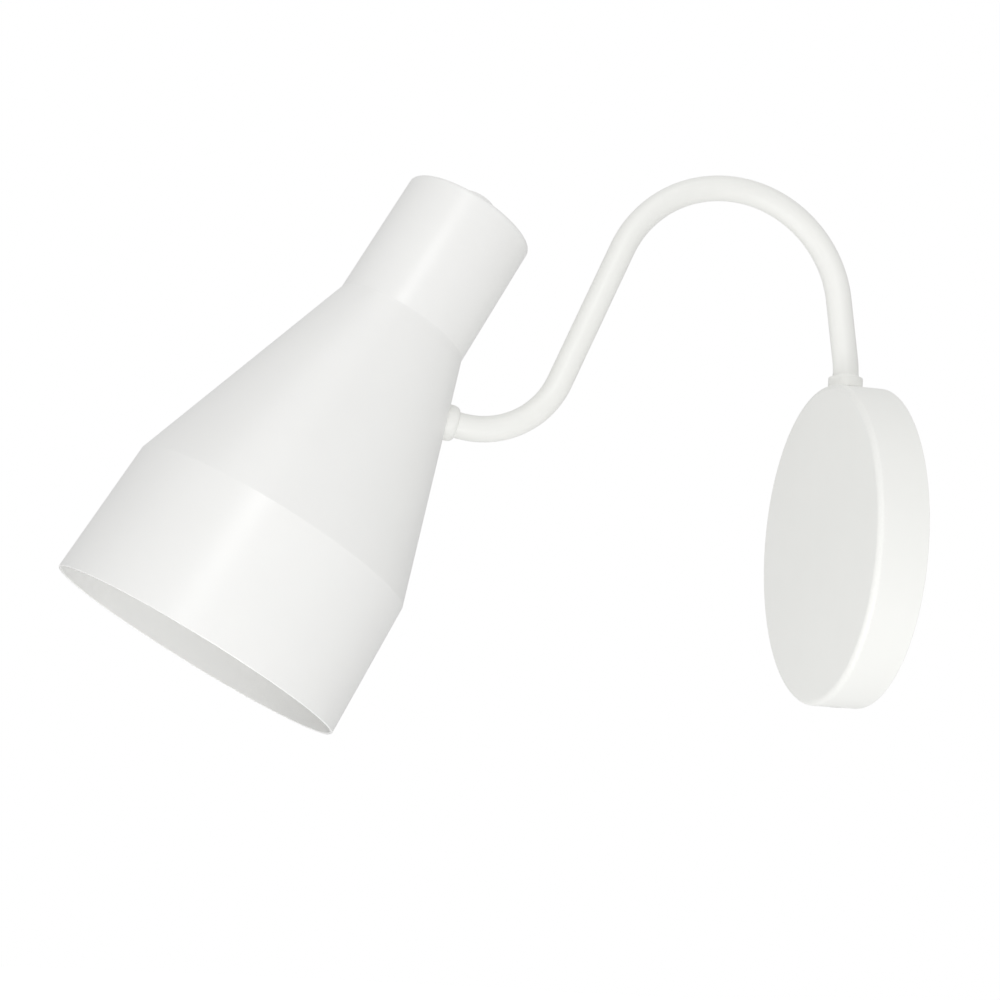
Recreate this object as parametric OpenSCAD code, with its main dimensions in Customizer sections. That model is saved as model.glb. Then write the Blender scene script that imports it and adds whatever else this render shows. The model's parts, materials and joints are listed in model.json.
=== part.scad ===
// Swing arm wall lamp: a round wall plate, a bent tube arm that swings about a vertical
// pivot in the plate's rim, and a spun shade that turns on the arm's tip.
// Frame: origin at the centre of the plate's wall face, +Z up, -Y out from the wall.

/* [Wall plate] */
// Outer diameter of the wall plate
plate_d = 125; // [110:1:160]
// Depth of the wall plate, from the wall to its face
plate_depth = 19.5; // [19.5:0.5:26]
// Sheet thickness of the wall plate
plate_wall = 1; // [0.8:0.1:1.2]
// Radius of the plate's front edge
plate_edge_r = 2.4; // [0.5:0.1:3]

/* [Wall bracket] */
// Width of the steel strap screwed to the wall
strap_w = 24; // [22:1:30]
// Thickness of the strap
strap_t = 1.5; // [1.2:0.1:1.6]
// Distance between the two wall screw slots
slot_spacing = 60; // [56:1:62]
// Height of the upper wall screw slot above the centre
slot_top = 22; // [20:1:22]
// Width of a wall screw slot
slot_w = 4.5; // [4:0.1:5]
// Length of a wall screw slot, end to end
slot_l = 9; // [7:0.5:9]
// Diameter of the strap's hole for the supply cable
entry_d = 14; // [12:0.5:14]
// Bore of the rubber bush in that hole
entry_bore_d = 8; // [6:0.5:9]

/* [Arm] */
// Outer diameter of the arm's tube
tube_d = 10; // [9.6:0.1:12]
// Diameter of the threaded stems in the tube's two ends
stem_d = 8; // [7.8:0.1:8]
// Bore of the stems
stem_bore_d = 5.4; // [5:0.1:5.8]
// Straight foot of the tube, above the plate
foot_l = 6; // [6:0.5:10]
// Radius of the bend above the foot
foot_bend_r = 40; // [30:1:50]
// Lean of the leg, out from the wall, in degrees
leg_lean = 8.3; // [4:0.1:10]
// Length of the leg's straight
leg_l = 24; // [10:1:45]
// Radius of the arch's centreline
arch_r = 46.7; // [38:0.1:56]
// Turn of the arch, in degrees
arch_turn = 149.6; // [145:0.1:152]
// Length of the straight that comes down from the arch
drop_l = 59; // [50:1:75]
// Radius of the last bend's centreline
tip_r = 34; // [28:1:40]
// Turn of the last bend, in degrees
tip_turn = 78.1; // [74:0.1:82]
// Straight end of the tube, up to the shade's wall
tip_l = 5.8; // [5.6:0.1:8]
// Diameter of the collar at the arm's foot
foot_collar_d = 13.5; // [13:0.5:15]
// Height of that collar's rim
foot_collar_h = 4.4; // [3:0.1:5]

/* [Shade] */
// Outer diameter at the neck's top
neck_top_d = 52.4; // [52.2:0.1:56]
// Outer diameter where the neck meets the cone
neck_d = 53; // [52.8:0.1:56]
// Length of the neck
neck_l = 51.1; // [51:0.1:60]
// Outer diameter where the cone meets the skirt
cone_d = 111.6; // [96:0.1:128]
// Length of the cone
cone_l = 92; // [80:1:110]
// Outer diameter of the open mouth
mouth_d = 115.2; // [112:0.1:140]
// Length of the skirt below the cone
skirt_l = 52.5; // [30:0.5:70]
// Sheet thickness of the shade
shade_wall = 1; // [0.8:0.1:1.2]
// Radius of the neck's top edge
neck_edge_r = 1.3; // [1.3:0.1:3]
// Distance of the arm's joint below the neck, along the shade's axis
joint_drop = 22.1; // [20:0.1:30]
// Diameter of the domed collar at the shade
shade_collar_d = 13.8; // [13.4:0.1:14.6]
// Height of that collar
shade_collar_h = 4.1; // [4:0.1:5.5]

/* [Lampholder] */
// Inside diameter of the screw shell (E27)
shell_bore_d = 26.7; // [26.6:0.1:32]
// Length of the screw shell
shell_l = 22; // [20:0.5:24]
// Height of the cap
cap_h = 24; // [24:0.5:25]
// Diameter of the push button
button_d = 14.8; // [13.8:0.1:16]
// Height of the button's top above the neck
button_top = 7.8; // [7.8:0.1:11]
// Travel of the push button
button_travel = 2.5; // [2:0.1:2.6]

/* [Joints] */
// Turn of the arm each way, in degrees
swing_max = 75; // [45:1:80]
// Turn of the shade each way, in degrees
shade_turn_max = 160; // [90:1:160]

/* [Hidden] */
$fn = 96;

eps = 0.01;           // overlap of two shapes that are one piece
cut_l = 8;            // length of a cut through sheet metal
run_gap = 0.05;       // radial clearance of a shaft in its bore
face_gap = 0.15;      // gap between faces that turn on each other
thread_gap = 0.05;    // radial clearance of a screw drawn without its thread
join_gap = 0.02;      // radial clearance of a brazed or pressed joint

// Wall plate
rim_r = plate_d / 2;
rim_in_r = rim_r - plate_wall;
pivot_y = plate_depth / 2;
retain_d = 4;                         // M4 grub screw
retain_l = 8;
retain_recess = 0.2;
retain_hole_d = retain_d + 0.3;
socket_af = 2;                        // hexagon key
socket_depth = 2.2;

// Bracket: up = height on the wall, out = distance from the wall
slot_mid = slot_top - slot_spacing / 2;
shelf_up = 33;                        // top of the hook's shelf, which carries the hanger bar
hook_gap = 0.2;
bar_t = 1.5;
bar_h = 8;
bar_out = strap_t + hook_gap;
lip_out = bar_out + bar_t + hook_gap;
lip_h = 6;
tab_gap = 0.4;
tab_up = -(sqrt(pow(rim_in_r, 2) - pow(strap_w / 2, 2)) - tab_gap);
tab_out = plate_depth - plate_wall - 1.5;
grommet_flange_d = entry_d + 4;
grommet_flange_t = 1.2;

// Terminal block
block_w = 20;
block_h = 16;
block_t = 13;
block_up = -18.5;
pole_pitch = 9.2;
sleeve_d = 5;
sleeve_l = 18;
sleeve_bore_d = 2.6;
wire_stop_t = 1;                      // web in the middle of a sleeve that stops both wires
sleeve_seat_gap = 0.1;
clamp_x = 6.6;
clamp_d = 3;
clamp_l = 2.8;
clamp_lift = 1.35;
well_d = 4;
block_screw_d = 3;
block_screw_head_d = 5;
block_screw_head_t = 1.6;

// Earth terminal
earth_up = -50;
earth_d = 4;
earth_l = 8;
earth_washer_d = 8;
earth_washer_t = 0.8;
earth_nut_af = 7;
earth_nut_t = 3.2;

// Pivot stack, measured down from the rim's top
stem_r = stem_d / 2;
saddle_w = 19;
saddle_d = 15;
saddle_h = 7.5;
washer_d = 13;
washer_t = 1;
stop_t = 1.2;
stop_r = 8.2;
stop_web_r = 6.4;
pin_d = 1.6;
pin_r = 7.4;
pin_seat = 3.5;
pin_play = 1.5;                       // degrees between pin and stop at the limit
pin_half = asin(pin_d / 2 / pin_r);
spring_t = 0.5;
spring_h = 1.2;
nut_af = 13;
nut_t = 3;
friction_z = -saddle_h - washer_t;
swing_stop_z = friction_z - face_gap - stop_t;
swing_spring_z = swing_stop_z - spring_h;
swing_nut_z = swing_spring_z - 2 * nut_t;
stem_end_z = swing_nut_z - 1.5;

// Arm's centreline
braze_gap = 0.03;
tube_bore_r = stem_r + braze_gap;
foot_z = rim_r + face_gap;
route = [["line", foot_l - face_gap], ["bend", foot_bend_r, leg_lean], ["line", leg_l],
         ["bend", arch_r, arch_turn], ["line", drop_l], ["bend", tip_r, -tip_turn]];
bend_step = 6;                        // degrees between rings of a bend
tube_sides = 24;
lead_sides = 8;

// Tip joint, measured from the shade's wall towards its axis
tip_heading = leg_lean + arch_turn - tip_turn;
tube_end = 1.5;                       // the tube stops this far short of the shade's wall
tip_ring_d = 11.8;
tip_saddle_z = 2.9;
tip_saddle_d = 17;
tip_friction_z = tip_saddle_z + washer_t;
tip_stop_z = tip_friction_z + face_gap;
tip_spring_z = tip_stop_z + stop_t;
tip_nut_z = tip_spring_z + spring_h;
tip_stem_z = tip_nut_z + nut_t + 1;
tab_half = 180 - shade_turn_max - pin_half - pin_play;

// Shade
cone_angle = atan((cone_d - neck_d) / 2 / cone_l);
joint_r = neck_d / 2 + joint_drop * tan(cone_angle);
shade_lean = tip_heading - 90 - cone_angle;

// Lampholder, along the shade's axis from the foot of the neck
cap_top = neck_l - shade_wall;
cap_z = cap_top - cap_h;
cap_wall = 1.6;
cap_roof = 2;
ledge_t = 3;
bush_d = 10;
bush_gap = 0.1;
bush_rise = 2.4;
ring_nut_d = 13.6;
ring_nut_t = 2;
button_stem_d = 6;
button_gap = 0.4;
button_z = neck_l + bush_rise + button_gap + button_travel;
button_edge_r = 2.1;
skirt_edge = 0.3;
stem_reach = 1.5;                     // the button's stem reaches this far into the switch
groove = 0.5;                         // depth of the clip's groove in the stem
shell_t = 0.6;
shell_r = shell_bore_d / 2;
shell_room = 0.65;                    // between the shell and the lower body
holder_wall = 1.9;
holder_r = shell_r + shell_t + shell_room + holder_wall;
cap_skirt = 4.5;                      // the cap stands this far out past the lower body
cap_d = 2 * (holder_r + cap_skirt);
holder_top = cap_z + 7;
carrier_t = 4;
carrier_z = cap_z - 4;
shell_seat = 3;                       // the carrier's rim holds the shell this far below it
shell_lap = 0.2;                      // width of the shell's edge that rests on the rim
shell_z = carrier_z - shell_seat - shell_l;
holder_z = shell_z - 2;
switch_z = cap_z + 7.5;
switch_h = 8.5;
switch_top = switch_z + switch_h;
clip_t = 0.9;
clip_z = cap_top - cap_roof - face_gap - clip_t;
clip_d = 8.6;

// Lampholder's contacts, screws and switch
contact_play = 0.1;                   // radial clearance in the carrier's holes
contact_rod_r = 1.2;
contact_disc_r = 3.6;
contact_disc_t = 0.8;
contact_drop = 2.5;                   // the centre contact reaches this far below the carrier
rod_rise = 1.5;                       // a contact's rod stands this far above the carrier
side_rod_r = 1;
side_rod_y = -10;
side_tab = [4, 5, 0.6];
side_tab_y = -12.6;
carrier_screw_r = 1.45;
carrier_screw_x = 8;
carrier_screw_rise = 4.7;
carrier_head_d = 5;
carrier_head_t = 1.6;
switch_r = 14;
switch_floor = 2;
switch_play = 0.3;                    // radial clearance of the button's stem in the switch

// Cables
lead_r = 2.2;
core_r = 0.9;
core_x = 1.3;
end_gap = 0.3;                        // gap between two lengths of cable at a joint
lead_bend = 12;
lead_turn = 70;
core_bend = 6;
core_shift = pole_pitch / 2 - core_x;
core_turn = acos(1 - core_shift / 2 / core_bend);
core_start = 3;
core_run = 9;
sheath_x = -(core_start + core_run + 2 * core_bend * sin(core_turn));
sheath_tail = 1;
riser_x = sheath_x - sheath_tail - lead_bend;
cross_l = (-riser_x - 2 * lead_bend * (1 - cos(lead_turn))) / sin(lead_turn);
lead_top = rim_r + stem_end_z - end_gap;
lead_tail = 3;
riser_l = lead_top - lead_tail - 2 * lead_bend * sin(lead_turn) - cross_l * cos(lead_turn)
          - block_up - lead_bend;
wire_line_r = 18;
wire_exit = tip_stem_z + 0.1;
wire_start = tip_stem_z - 4;
wire_bend = (joint_r - wire_exit * cos(cone_angle) - wire_line_r) / (1 + sin(cone_angle));
wire_turn_z = -joint_drop - wire_exit * sin(cone_angle) + wire_bend * cos(cone_angle);
wire_top = cap_z + 6.5;
wire_hole_gap = 0.15;

steel = "#b9bbbd";
brass = "#c9a64a";
enamel = "#f1f1ec";
shade_white = "#f4f4f2";
fibre = "#b4523a";
moulded = "#e6e2d6";
flex_white = "#e9e9e6";
core_brown = "#7d5a3c";
rubber = "#3a3a3a";
ceramic = "#f2efe8";
switch_black = "#2e2e2e";

// ---- paths: a station is [y, z, heading]; heading 0 runs up, 90 runs out along -Y ----
function turn_sign(a) = a < 0 ? -1 : 1;

function bend_centre(s, r, a) =
  [s[0] - turn_sign(a) * r * cos(s[2]), s[1] - turn_sign(a) * r * sin(s[2])];

function bend_point(s, r, a, t) =
  let (c = bend_centre(s, r, a), k = turn_sign(a) * r, h = s[2] + t)
  [c[0] + k * cos(h), c[1] + k * sin(h), h];

function leg_end(g, s) =
  g[0] == "line" ? [s[0] - g[1] * sin(s[2]), s[1] + g[1] * cos(s[2]), s[2]]
                 : bend_point(s, g[1], g[2], g[2]);

function leg_stations(g, s) =
  g[0] == "line" ? [s]
                 : let (n = ceil(abs(g[2]) / bend_step))
                   [for (k = [0 : n - 1]) bend_point(s, g[1], g[2], g[2] * k / n)];

function walk(legs, s, i = 0) =
  i == len(legs) ? [s] : concat(leg_stations(legs[i], s), walk(legs, leg_end(legs[i], s), i + 1));

arm_start = [-pivot_y, foot_z, 0];
arm_path = walk(concat(route, [["line", tip_l - tube_end]]), arm_start);
tip = leg_end(["line", tube_end], arm_path[len(arm_path) - 1]);

function ring(s, r, sides) =
  [for (k = [0 : sides - 1]) let (a = 360 * k / sides)
    [r * cos(a), s[0] + r * sin(a) * cos(s[2]), s[1] + r * sin(a) * sin(s[2])]];

function ring_quad(a, b, k, sides) =
  [a + k, a + (k + 1) % sides, b + (k + 1) % sides, b + k];

// A solid cable along a path.
module cable(path, r, sides = lead_sides) {
  n = len(path);
  points = [for (s = path) each ring(s, r, sides)];
  walls = [for (i = [0 : n - 2]) for (k = [0 : sides - 1])
    ring_quad(i * sides, (i + 1) * sides, k, sides)];
  start = [for (k = [sides - 1 : -1 : 0]) k];
  end = [for (k = [0 : sides - 1]) (n - 1) * sides + k];
  polyhedron(points, [for (f = concat(walls, [start, end])) [for (j = [len(f) - 1 : -1 : 0]) f[j]]]);
}

// A tube along a path: an outer skin, a bore and two ring ends.
module bent_tube(path, r, bore_r, sides) {
  n = len(path);
  skin = n * sides;
  flat = cos(180 / sides);
  points = concat([for (s = path) each ring(s, r, sides)],
                  [for (s = path) each ring(s, bore_r / flat, sides)]);
  outer = [for (i = [0 : n - 2]) for (k = [0 : sides - 1])
    ring_quad((i + 1) * sides, i * sides, k, sides)];
  inner = [for (i = [0 : n - 2]) for (k = [0 : sides - 1])
    ring_quad(skin + i * sides, skin + (i + 1) * sides, k, sides)];
  start = [for (k = [0 : sides - 1]) ring_quad(0, skin, k, sides)];
  end = [for (k = [0 : sides - 1]) ring_quad(skin + (n - 1) * sides, (n - 1) * sides, k, sides)];
  polyhedron(points, concat(outer, inner, start, end));
}

// ---- places ----
// Local z runs out from the wall and local y runs up.
module on_wall() { rotate([90, 0, 0]) children(); }

// On the arm's pivot axis, at the top of the plate's rim, z up.
module at_pivot() { translate([0, -pivot_y, rim_r]) children(); }

// On the arm's tip axis, at the shade's wall, z into the shade.
module at_tip() { translate([0, tip[0], tip[1]]) rotate([tip_heading, 0, 0]) children(); }

// On the shade's axis, at the foot of the neck, z towards the neck's top.
module on_shade() {
  translate([0, tip[0], tip[1]]) rotate([shade_lean, 0, 0]) translate([0, -joint_r, joint_drop]) children();
}

// The tip's axis, seen from the shade.
module shade_joint() { translate([0, joint_r, -joint_drop]) rotate([90 + cone_angle, 0, 0]) children(); }

// ---- shapes used more than once ----
module pipe(r, bore_r, h) {
  difference() {
    cylinder(r = r, h = h);
    translate([0, 0, -1]) cylinder(r = bore_r, h = h + 2);
  }
}

module hex_nut(af, bore_d, h) {
  difference() {
    cylinder(d = af / cos(30), h = h, $fn = 6);
    translate([0, 0, -1]) cylinder(d = bore_d, h = h + 2);
  }
}

// A dished spring washer: its rim at z = 0, its bore edge at z = h.
module dished_washer(r, bore_r, t, h) {
  rotate_extrude()
    polygon([[r, 0], [r, t], [bore_r, h], [bore_r, h - t]]);
}

// A stem with a bore, from z0 to z1.
module stem(z0, z1) {
  translate([0, 0, z0]) pipe(stem_r, stem_bore_d / 2, z1 - z0);
}

module slotted_screw(d, l, slot_depth, slot) {
  difference() {
    cylinder(d = d, h = l);
    translate([-d, -slot / 2, l - slot_depth]) cube([2 * d, slot, slot_depth + 1]);
  }
}

function arc(cx, cz, rx, rz, a0, a1, n) =
  [for (k = [0 : n]) let (a = a0 + (a1 - a0) * k / n) [cx + rx * cos(a), cz + rz * sin(a)]];

// ---- wall plate ----
module wall_plate() {
  inner_r = max(plate_edge_r - plate_wall, 0.2);
  inner_out = plate_depth - plate_wall;
  color(enamel) difference() {
    on_wall() rotate_extrude() polygon(concat(
      [[rim_in_r, 0], [rim_r, 0]],
      arc(rim_r - plate_edge_r, plate_depth - plate_edge_r, plate_edge_r, plate_edge_r, 0, 90, 8),
      [[0, plate_depth], [0, inner_out]],
      arc(rim_in_r - inner_r, inner_out - inner_r, inner_r, inner_r, 90, 0, 6)));
    translate([0, -pivot_y, rim_r]) cylinder(r = stem_r + run_gap, h = cut_l, center = true);
    translate([0, -pivot_y, -rim_r]) cylinder(d = retain_hole_d, h = cut_l, center = true);
  }
}

module hanger_bar() {
  color(steel) on_wall() intersection() {
    translate([-rim_r, shelf_up, bar_out]) cube([2 * rim_r, bar_h, bar_t]);
    cylinder(r = rim_in_r, h = plate_depth);
  }
}

module slot_cut() {
  for (s = [-1, 1])
    translate([0, s * (slot_l - slot_w) / 2, -1]) cylinder(d = slot_w, h = strap_t + 2);
  translate([-slot_w / 2, -(slot_l - slot_w) / 2, -1]) cube([slot_w, slot_l - slot_w, strap_t + 2]);
}

module mounting_bracket() {
  half = strap_w / 2;
  color(steel) on_wall() difference() {
    union() {
      translate([-half, tab_up, 0]) cube([strap_w, shelf_up - tab_up, strap_t]);
      translate([-half, tab_up, 0]) cube([strap_w, strap_t, tab_out]);
      translate([-half, shelf_up - strap_t, 0]) cube([strap_w, strap_t, lip_out + strap_t]);
      translate([-half, shelf_up - strap_t, lip_out]) cube([strap_w, strap_t + lip_h, strap_t]);
    }
    for (up = [slot_top, slot_top - slot_spacing]) translate([0, up, 0]) slot_cut();
    translate([0, 0, -1]) cylinder(d = entry_d + 2 * join_gap, h = strap_t + 2);
    translate([0, block_up, -1]) cylinder(d = block_screw_d, h = strap_t + 2);
    translate([0, earth_up, -1]) cylinder(d = earth_d + 2 * join_gap, h = strap_t + 2);
    translate([0, tab_up - 1, pivot_y]) rotate([-90, 0, 0]) cylinder(d = retain_d, h = strap_t + 2);
  }
}

module retaining_screw() {
  color(steel) translate([0, -pivot_y, -rim_r + retain_recess]) difference() {
    cylinder(d = retain_d - 2 * thread_gap, h = retain_l);
    translate([0, 0, -1]) cylinder(d = socket_af / cos(30), h = socket_depth + 1, $fn = 6);
  }
}

module cable_grommet() {
  color(rubber) on_wall() rotate_extrude() polygon([
    [entry_bore_d / 2, 0], [entry_d / 2, 0], [entry_d / 2, strap_t],
    [grommet_flange_d / 2, strap_t], [grommet_flange_d / 2, strap_t + grommet_flange_t],
    [entry_bore_d / 2, strap_t + grommet_flange_t]]);
}

// ---- terminal block ----
module at_block() { on_wall() translate([0, block_up, 0]) children(); }

module at_poles() {
  for (s = [-1, 1]) translate([0, s * pole_pitch / 2, pivot_y]) children();
}

module terminal_block() {
  color(moulded) at_block() difference() {
    translate([-block_w / 2, -block_h / 2, strap_t]) cube([block_w, block_h, block_t]);
    at_poles() {
      translate([-block_w, 0, 0]) rotate([0, 90, 0])
        cylinder(d = sleeve_d + 2 * sleeve_seat_gap, h = 2 * block_w);
      for (x = [-clamp_x, clamp_x]) translate([x, 0, 0]) cylinder(d = well_d, h = block_t);
    }
    cylinder(d = block_screw_d, h = 2 * block_t);
    translate([0, 0, strap_t + block_t - block_screw_head_t])
      cylinder(d = block_screw_head_d, h = block_t);
  }
}

module terminal_sleeves() {
  color(brass) at_block() at_poles() difference() {
    translate([-sleeve_l / 2, 0, 0]) rotate([0, 90, 0]) cylinder(d = sleeve_d, h = sleeve_l);
    for (s = [-1, 1]) {
      translate([s * wire_stop_t / 2, 0, 0]) rotate([0, s * 90, 0])
        cylinder(d = sleeve_bore_d, h = sleeve_l);
      translate([s * clamp_x, 0, 0]) cylinder(d = clamp_d, h = sleeve_d);
    }
  }
}

module terminal_screws() {
  color(steel) at_block() at_poles() for (x = [-clamp_x, clamp_x])
    translate([x, 0, clamp_lift]) slotted_screw(clamp_d - 2 * thread_gap, clamp_l, 0.8, 0.6);
}

module block_screw() {
  head_z = strap_t + block_t - block_screw_head_t;
  color(steel) at_block() {
    cylinder(d = block_screw_d - 2 * thread_gap, h = head_z + eps);
    translate([0, 0, head_z]) slotted_screw(block_screw_head_d - 2 * thread_gap,
                                            block_screw_head_t - 0.2, 0.7, 0.8);
  }
}

// ---- earth terminal ----
module at_earth(out) { on_wall() translate([0, earth_up, out]) children(); }

module earth_stud() { color(steel) at_earth(0) cylinder(d = earth_d, h = strap_t + earth_l); }

module earth_washer() {
  color(steel) at_earth(strap_t) pipe(earth_washer_d / 2, earth_d / 2 + thread_gap, earth_washer_t);
}

module earth_nut() {
  color(brass) at_earth(strap_t + earth_washer_t)
    hex_nut(earth_nut_af, earth_d + 2 * thread_gap, earth_nut_t);
}

// ---- arm pivot, fixed half ----
module pivot_saddle() {
  color(steel) difference() {
    intersection() {
      at_pivot() translate([-saddle_w / 2, -saddle_d / 2, -saddle_h])
        cube([saddle_w, saddle_d, saddle_h]);
      on_wall() cylinder(r = rim_in_r, h = plate_depth);
    }
    at_pivot() {
      translate([0, 0, -2 * saddle_h]) cylinder(r = stem_r + run_gap, h = 3 * saddle_h);
      translate([pin_r, 0, -saddle_h - 1]) cylinder(d = pin_d + 2 * join_gap, h = pin_seat + 1);
    }
  }
}

module pivot_friction_washer() {
  color(fibre) at_pivot() translate([0, 0, friction_z])
    pipe(washer_d / 2, stem_r + run_gap, washer_t);
}

module pivot_stop_pin() {
  color(steel) at_pivot() translate([pin_r, 0, swing_stop_z - face_gap])
    cylinder(d = pin_d, h = -saddle_h + pin_seat - swing_stop_z + face_gap);
}

// ---- cable in the plate ----
module in_plate_plane() { translate([0, -pivot_y, 0]) rotate([0, 0, -90]) children(); }

module plate_lead() {
  legs = [["line", sheath_tail], ["bend", lead_bend, -90], ["line", riser_l],
          ["bend", lead_bend, -lead_turn], ["line", cross_l], ["bend", lead_bend, lead_turn],
          ["line", lead_tail]];
  color(flex_white) in_plate_plane() cable(walk(legs, [sheath_x, block_up, 90]), lead_r);
}

module plate_cores() {
  color(core_brown) in_plate_plane() for (s = [-1, 1]) {
    legs = [["line", core_run], ["bend", core_bend, s * core_turn],
            ["bend", core_bend, -s * core_turn]];
    cable(walk(legs, [-core_start, block_up + s * pole_pitch / 2, 90]), core_r);
  }
}

// ---- arm ----
module arm_tube() { color(enamel) bent_tube(arm_path, tube_d / 2, tube_bore_r, tube_sides); }

module foot_collar() {
  r = foot_collar_d / 2;
  bore_r = tube_d / 2 + join_gap;
  base_edge = 0.3;
  rim_edge = 0.5;
  land = 0.1;
  lip = 0.1;
  lip_h = 0.3;
  flare = r - bore_r - lip - land - rim_edge;
  top = foot_collar_h + flare + lip_h;
  color(enamel) at_pivot() rotate_extrude() polygon(concat(
    [[bore_r, face_gap], [r - base_edge, face_gap], [r, face_gap + base_edge]],
    arc(r - rim_edge, foot_collar_h - rim_edge, rim_edge, rim_edge, 0, 90, 4),
    arc(bore_r + lip + flare, foot_collar_h + flare, flare, flare, 270, 180, 6),
    [[bore_r + lip, top], [bore_r, top]]));
}

module swing_stem() { color(steel) at_pivot() stem(stem_end_z, foot_l); }

module swing_stop_washer() {
  window = swing_max + pin_half + pin_play;
  color(steel) at_pivot() translate([0, 0, swing_stop_z]) difference() {
    pipe(stop_r, stem_r + join_gap, stop_t);
    rotate([0, 0, -window]) rotate_extrude(angle = 2 * window)
      translate([stop_web_r, -1]) square([stop_r, stop_t + 2]);
  }
}

module swing_spring_washer() {
  color(steel) at_pivot() translate([0, 0, swing_spring_z])
    dished_washer(washer_d / 2, stem_r + 2 * run_gap, spring_t, spring_h);
}

module swing_nuts() {
  color(brass) at_pivot() for (k = [0, 1])
    translate([0, 0, swing_nut_z + k * nut_t]) hex_nut(nut_af, stem_d + 2 * join_gap, nut_t);
}

module arm_lead() {
  legs = concat([["line", foot_z - rim_r - stem_end_z]], route,
                [["line", tip_l + wire_start - end_gap]]);
  color(flex_white) cable(walk(legs, [-pivot_y, rim_r + stem_end_z, 0]), lead_r);
}

// ---- arm tip ----
module tip_stem() { color(steel) at_tip() stem(-tip_l, tip_stem_z); }

module tip_ring() {
  color(steel) at_tip() translate([0, 0, -tube_end])
    pipe(tip_ring_d / 2, stem_r + join_gap, tube_end - face_gap);
}

module tip_stop_washer() {
  color(steel) at_tip() translate([0, 0, tip_stop_z]) {
    pipe(stop_web_r, stem_r + join_gap, stop_t);
    rotate([0, 0, 90 - tab_half]) rotate_extrude(angle = 2 * tab_half)
      translate([stop_web_r - 0.5, 0]) square([stop_r - stop_web_r + 0.5, stop_t]);
  }
}

module tip_spring_washer() {
  color(steel) at_tip() translate([0, 0, tip_spring_z])
    dished_washer(stop_web_r, stem_r + 2 * run_gap, spring_t, spring_h);
}

module tip_nut() {
  color(brass) at_tip() translate([0, 0, tip_nut_z])
    hex_nut(nut_af, stem_d + 2 * join_gap, nut_t);
}

// ---- shade ----
module cone_solid(inset) {
  translate([0, 0, -cone_l])
    cylinder(r1 = cone_d / 2 - inset, r2 = neck_d / 2 - inset, h = cone_l);
}

module shade() {
  mouth_z = -cone_l - skirt_l;
  w = shade_wall;
  color(shade_white) on_shade() difference() {
    rotate_extrude() polygon(concat(
      [[mouth_d / 2 - w, mouth_z], [mouth_d / 2, mouth_z], [cone_d / 2, -cone_l], [neck_d / 2, 0]],
      arc(neck_top_d / 2 - neck_edge_r, neck_l - neck_edge_r, neck_edge_r, neck_edge_r, 0, 90, 8),
      [[0, neck_l], [0, cap_top]],
      arc(neck_top_d / 2 - neck_edge_r, neck_l - neck_edge_r, neck_edge_r - w, neck_edge_r - w,
          90, 0, 6),
      [[neck_d / 2 - w, 0], [cone_d / 2 - w, -cone_l]]));
    translate([0, 0, neck_l]) cylinder(d = bush_d + 2 * bush_gap, h = cut_l, center = true);
    shade_joint() cylinder(r = stem_r + run_gap, h = cut_l, center = true);
  }
}

module shade_collar() {
  r = shade_collar_d / 2;
  bore_r = tube_d / 2 + run_gap;
  lip_r = bore_r + 0.15;
  pocket_gap = 0.3;                   // room round the tip ring
  pocket_r = tip_ring_d / 2 + pocket_gap;
  pocket_z = -tube_end - pocket_gap;
  base_z = 2;                         // below the shade's wall, which then shapes the base
  crown_z = -1.4;                     // where the dome starts
  color(enamel) on_shade() difference() {
    shade_joint() rotate_extrude() polygon(concat(
      [[bore_r, -shade_collar_h]],
      arc(lip_r, crown_z, r - lip_r, shade_collar_h + crown_z, 270, 360, 8),
      [[r, base_z], [pocket_r, base_z], [pocket_r, pocket_z], [bore_r, pocket_z]]));
    cone_solid(0);
  }
}

module shade_saddle() {
  color(steel) on_shade() difference() {
    intersection() {
      shade_joint() cylinder(d = tip_saddle_d, h = tip_saddle_z);
      cone_solid(shade_wall);
    }
    shade_joint() {
      translate([0, 0, -1]) cylinder(r = stem_r + run_gap, h = tip_saddle_z + 2);
      translate([0, -pin_r, 0]) cylinder(d = pin_d + 2 * join_gap, h = tip_saddle_z + 1);
    }
  }
}

module shade_friction_washer() {
  color(fibre) on_shade() shade_joint() translate([0, 0, tip_saddle_z])
    pipe(stop_web_r, stem_r + run_gap, washer_t);
}

module shade_stop_pin() {
  color(steel) on_shade() shade_joint() translate([0, -pin_r, tip_saddle_z - 1])
    cylinder(d = pin_d, h = 1 + washer_t + face_gap + stop_t);
}

module shade_wires() {
  legs = [["line", wire_exit - wire_start], ["bend", wire_bend, -90 - cone_angle],
          ["line", wire_top - wire_turn_z]];
  color(core_brown) on_shade() for (s = [-1, 1]) translate([s * core_x, 0, 0])
    cable(walk(legs, [joint_r - wire_start * cos(cone_angle),
                      -joint_drop - wire_start * sin(cone_angle), 90 + cone_angle]), core_r);
}

// ---- lampholder ----
module holder_cap() {
  color(moulded) on_shade() difference() {
    union() {
      translate([0, 0, cap_z]) cylinder(d = cap_d, h = cap_h);
      translate([0, 0, cap_top - eps]) cylinder(d = bush_d, h = shade_wall + bush_rise + eps);
    }
    translate([0, 0, cap_z + ledge_t]) cylinder(d = cap_d - 2 * cap_wall, h = cap_h - ledge_t - cap_roof);
    translate([0, 0, cap_z - 1]) cylinder(r = holder_r + join_gap, h = ledge_t + 2);
    translate([0, 0, cap_z]) cylinder(d = button_stem_d + 2 * run_gap, h = 2 * cap_h);
    for (s = [-1, 1]) translate([s * core_x, wire_line_r, cap_z - 1])
      cylinder(r = core_r + wire_hole_gap, h = ledge_t + 2);
  }
}

module holder_body() {
  color(moulded) on_shade() translate([0, 0, holder_z])
    pipe(holder_r, holder_r - holder_wall, holder_top - holder_z);
}

module carrier_hole(x, y, r) {
  translate([x, y, -1]) cylinder(r = r + contact_play, h = carrier_t + 2);
}

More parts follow.
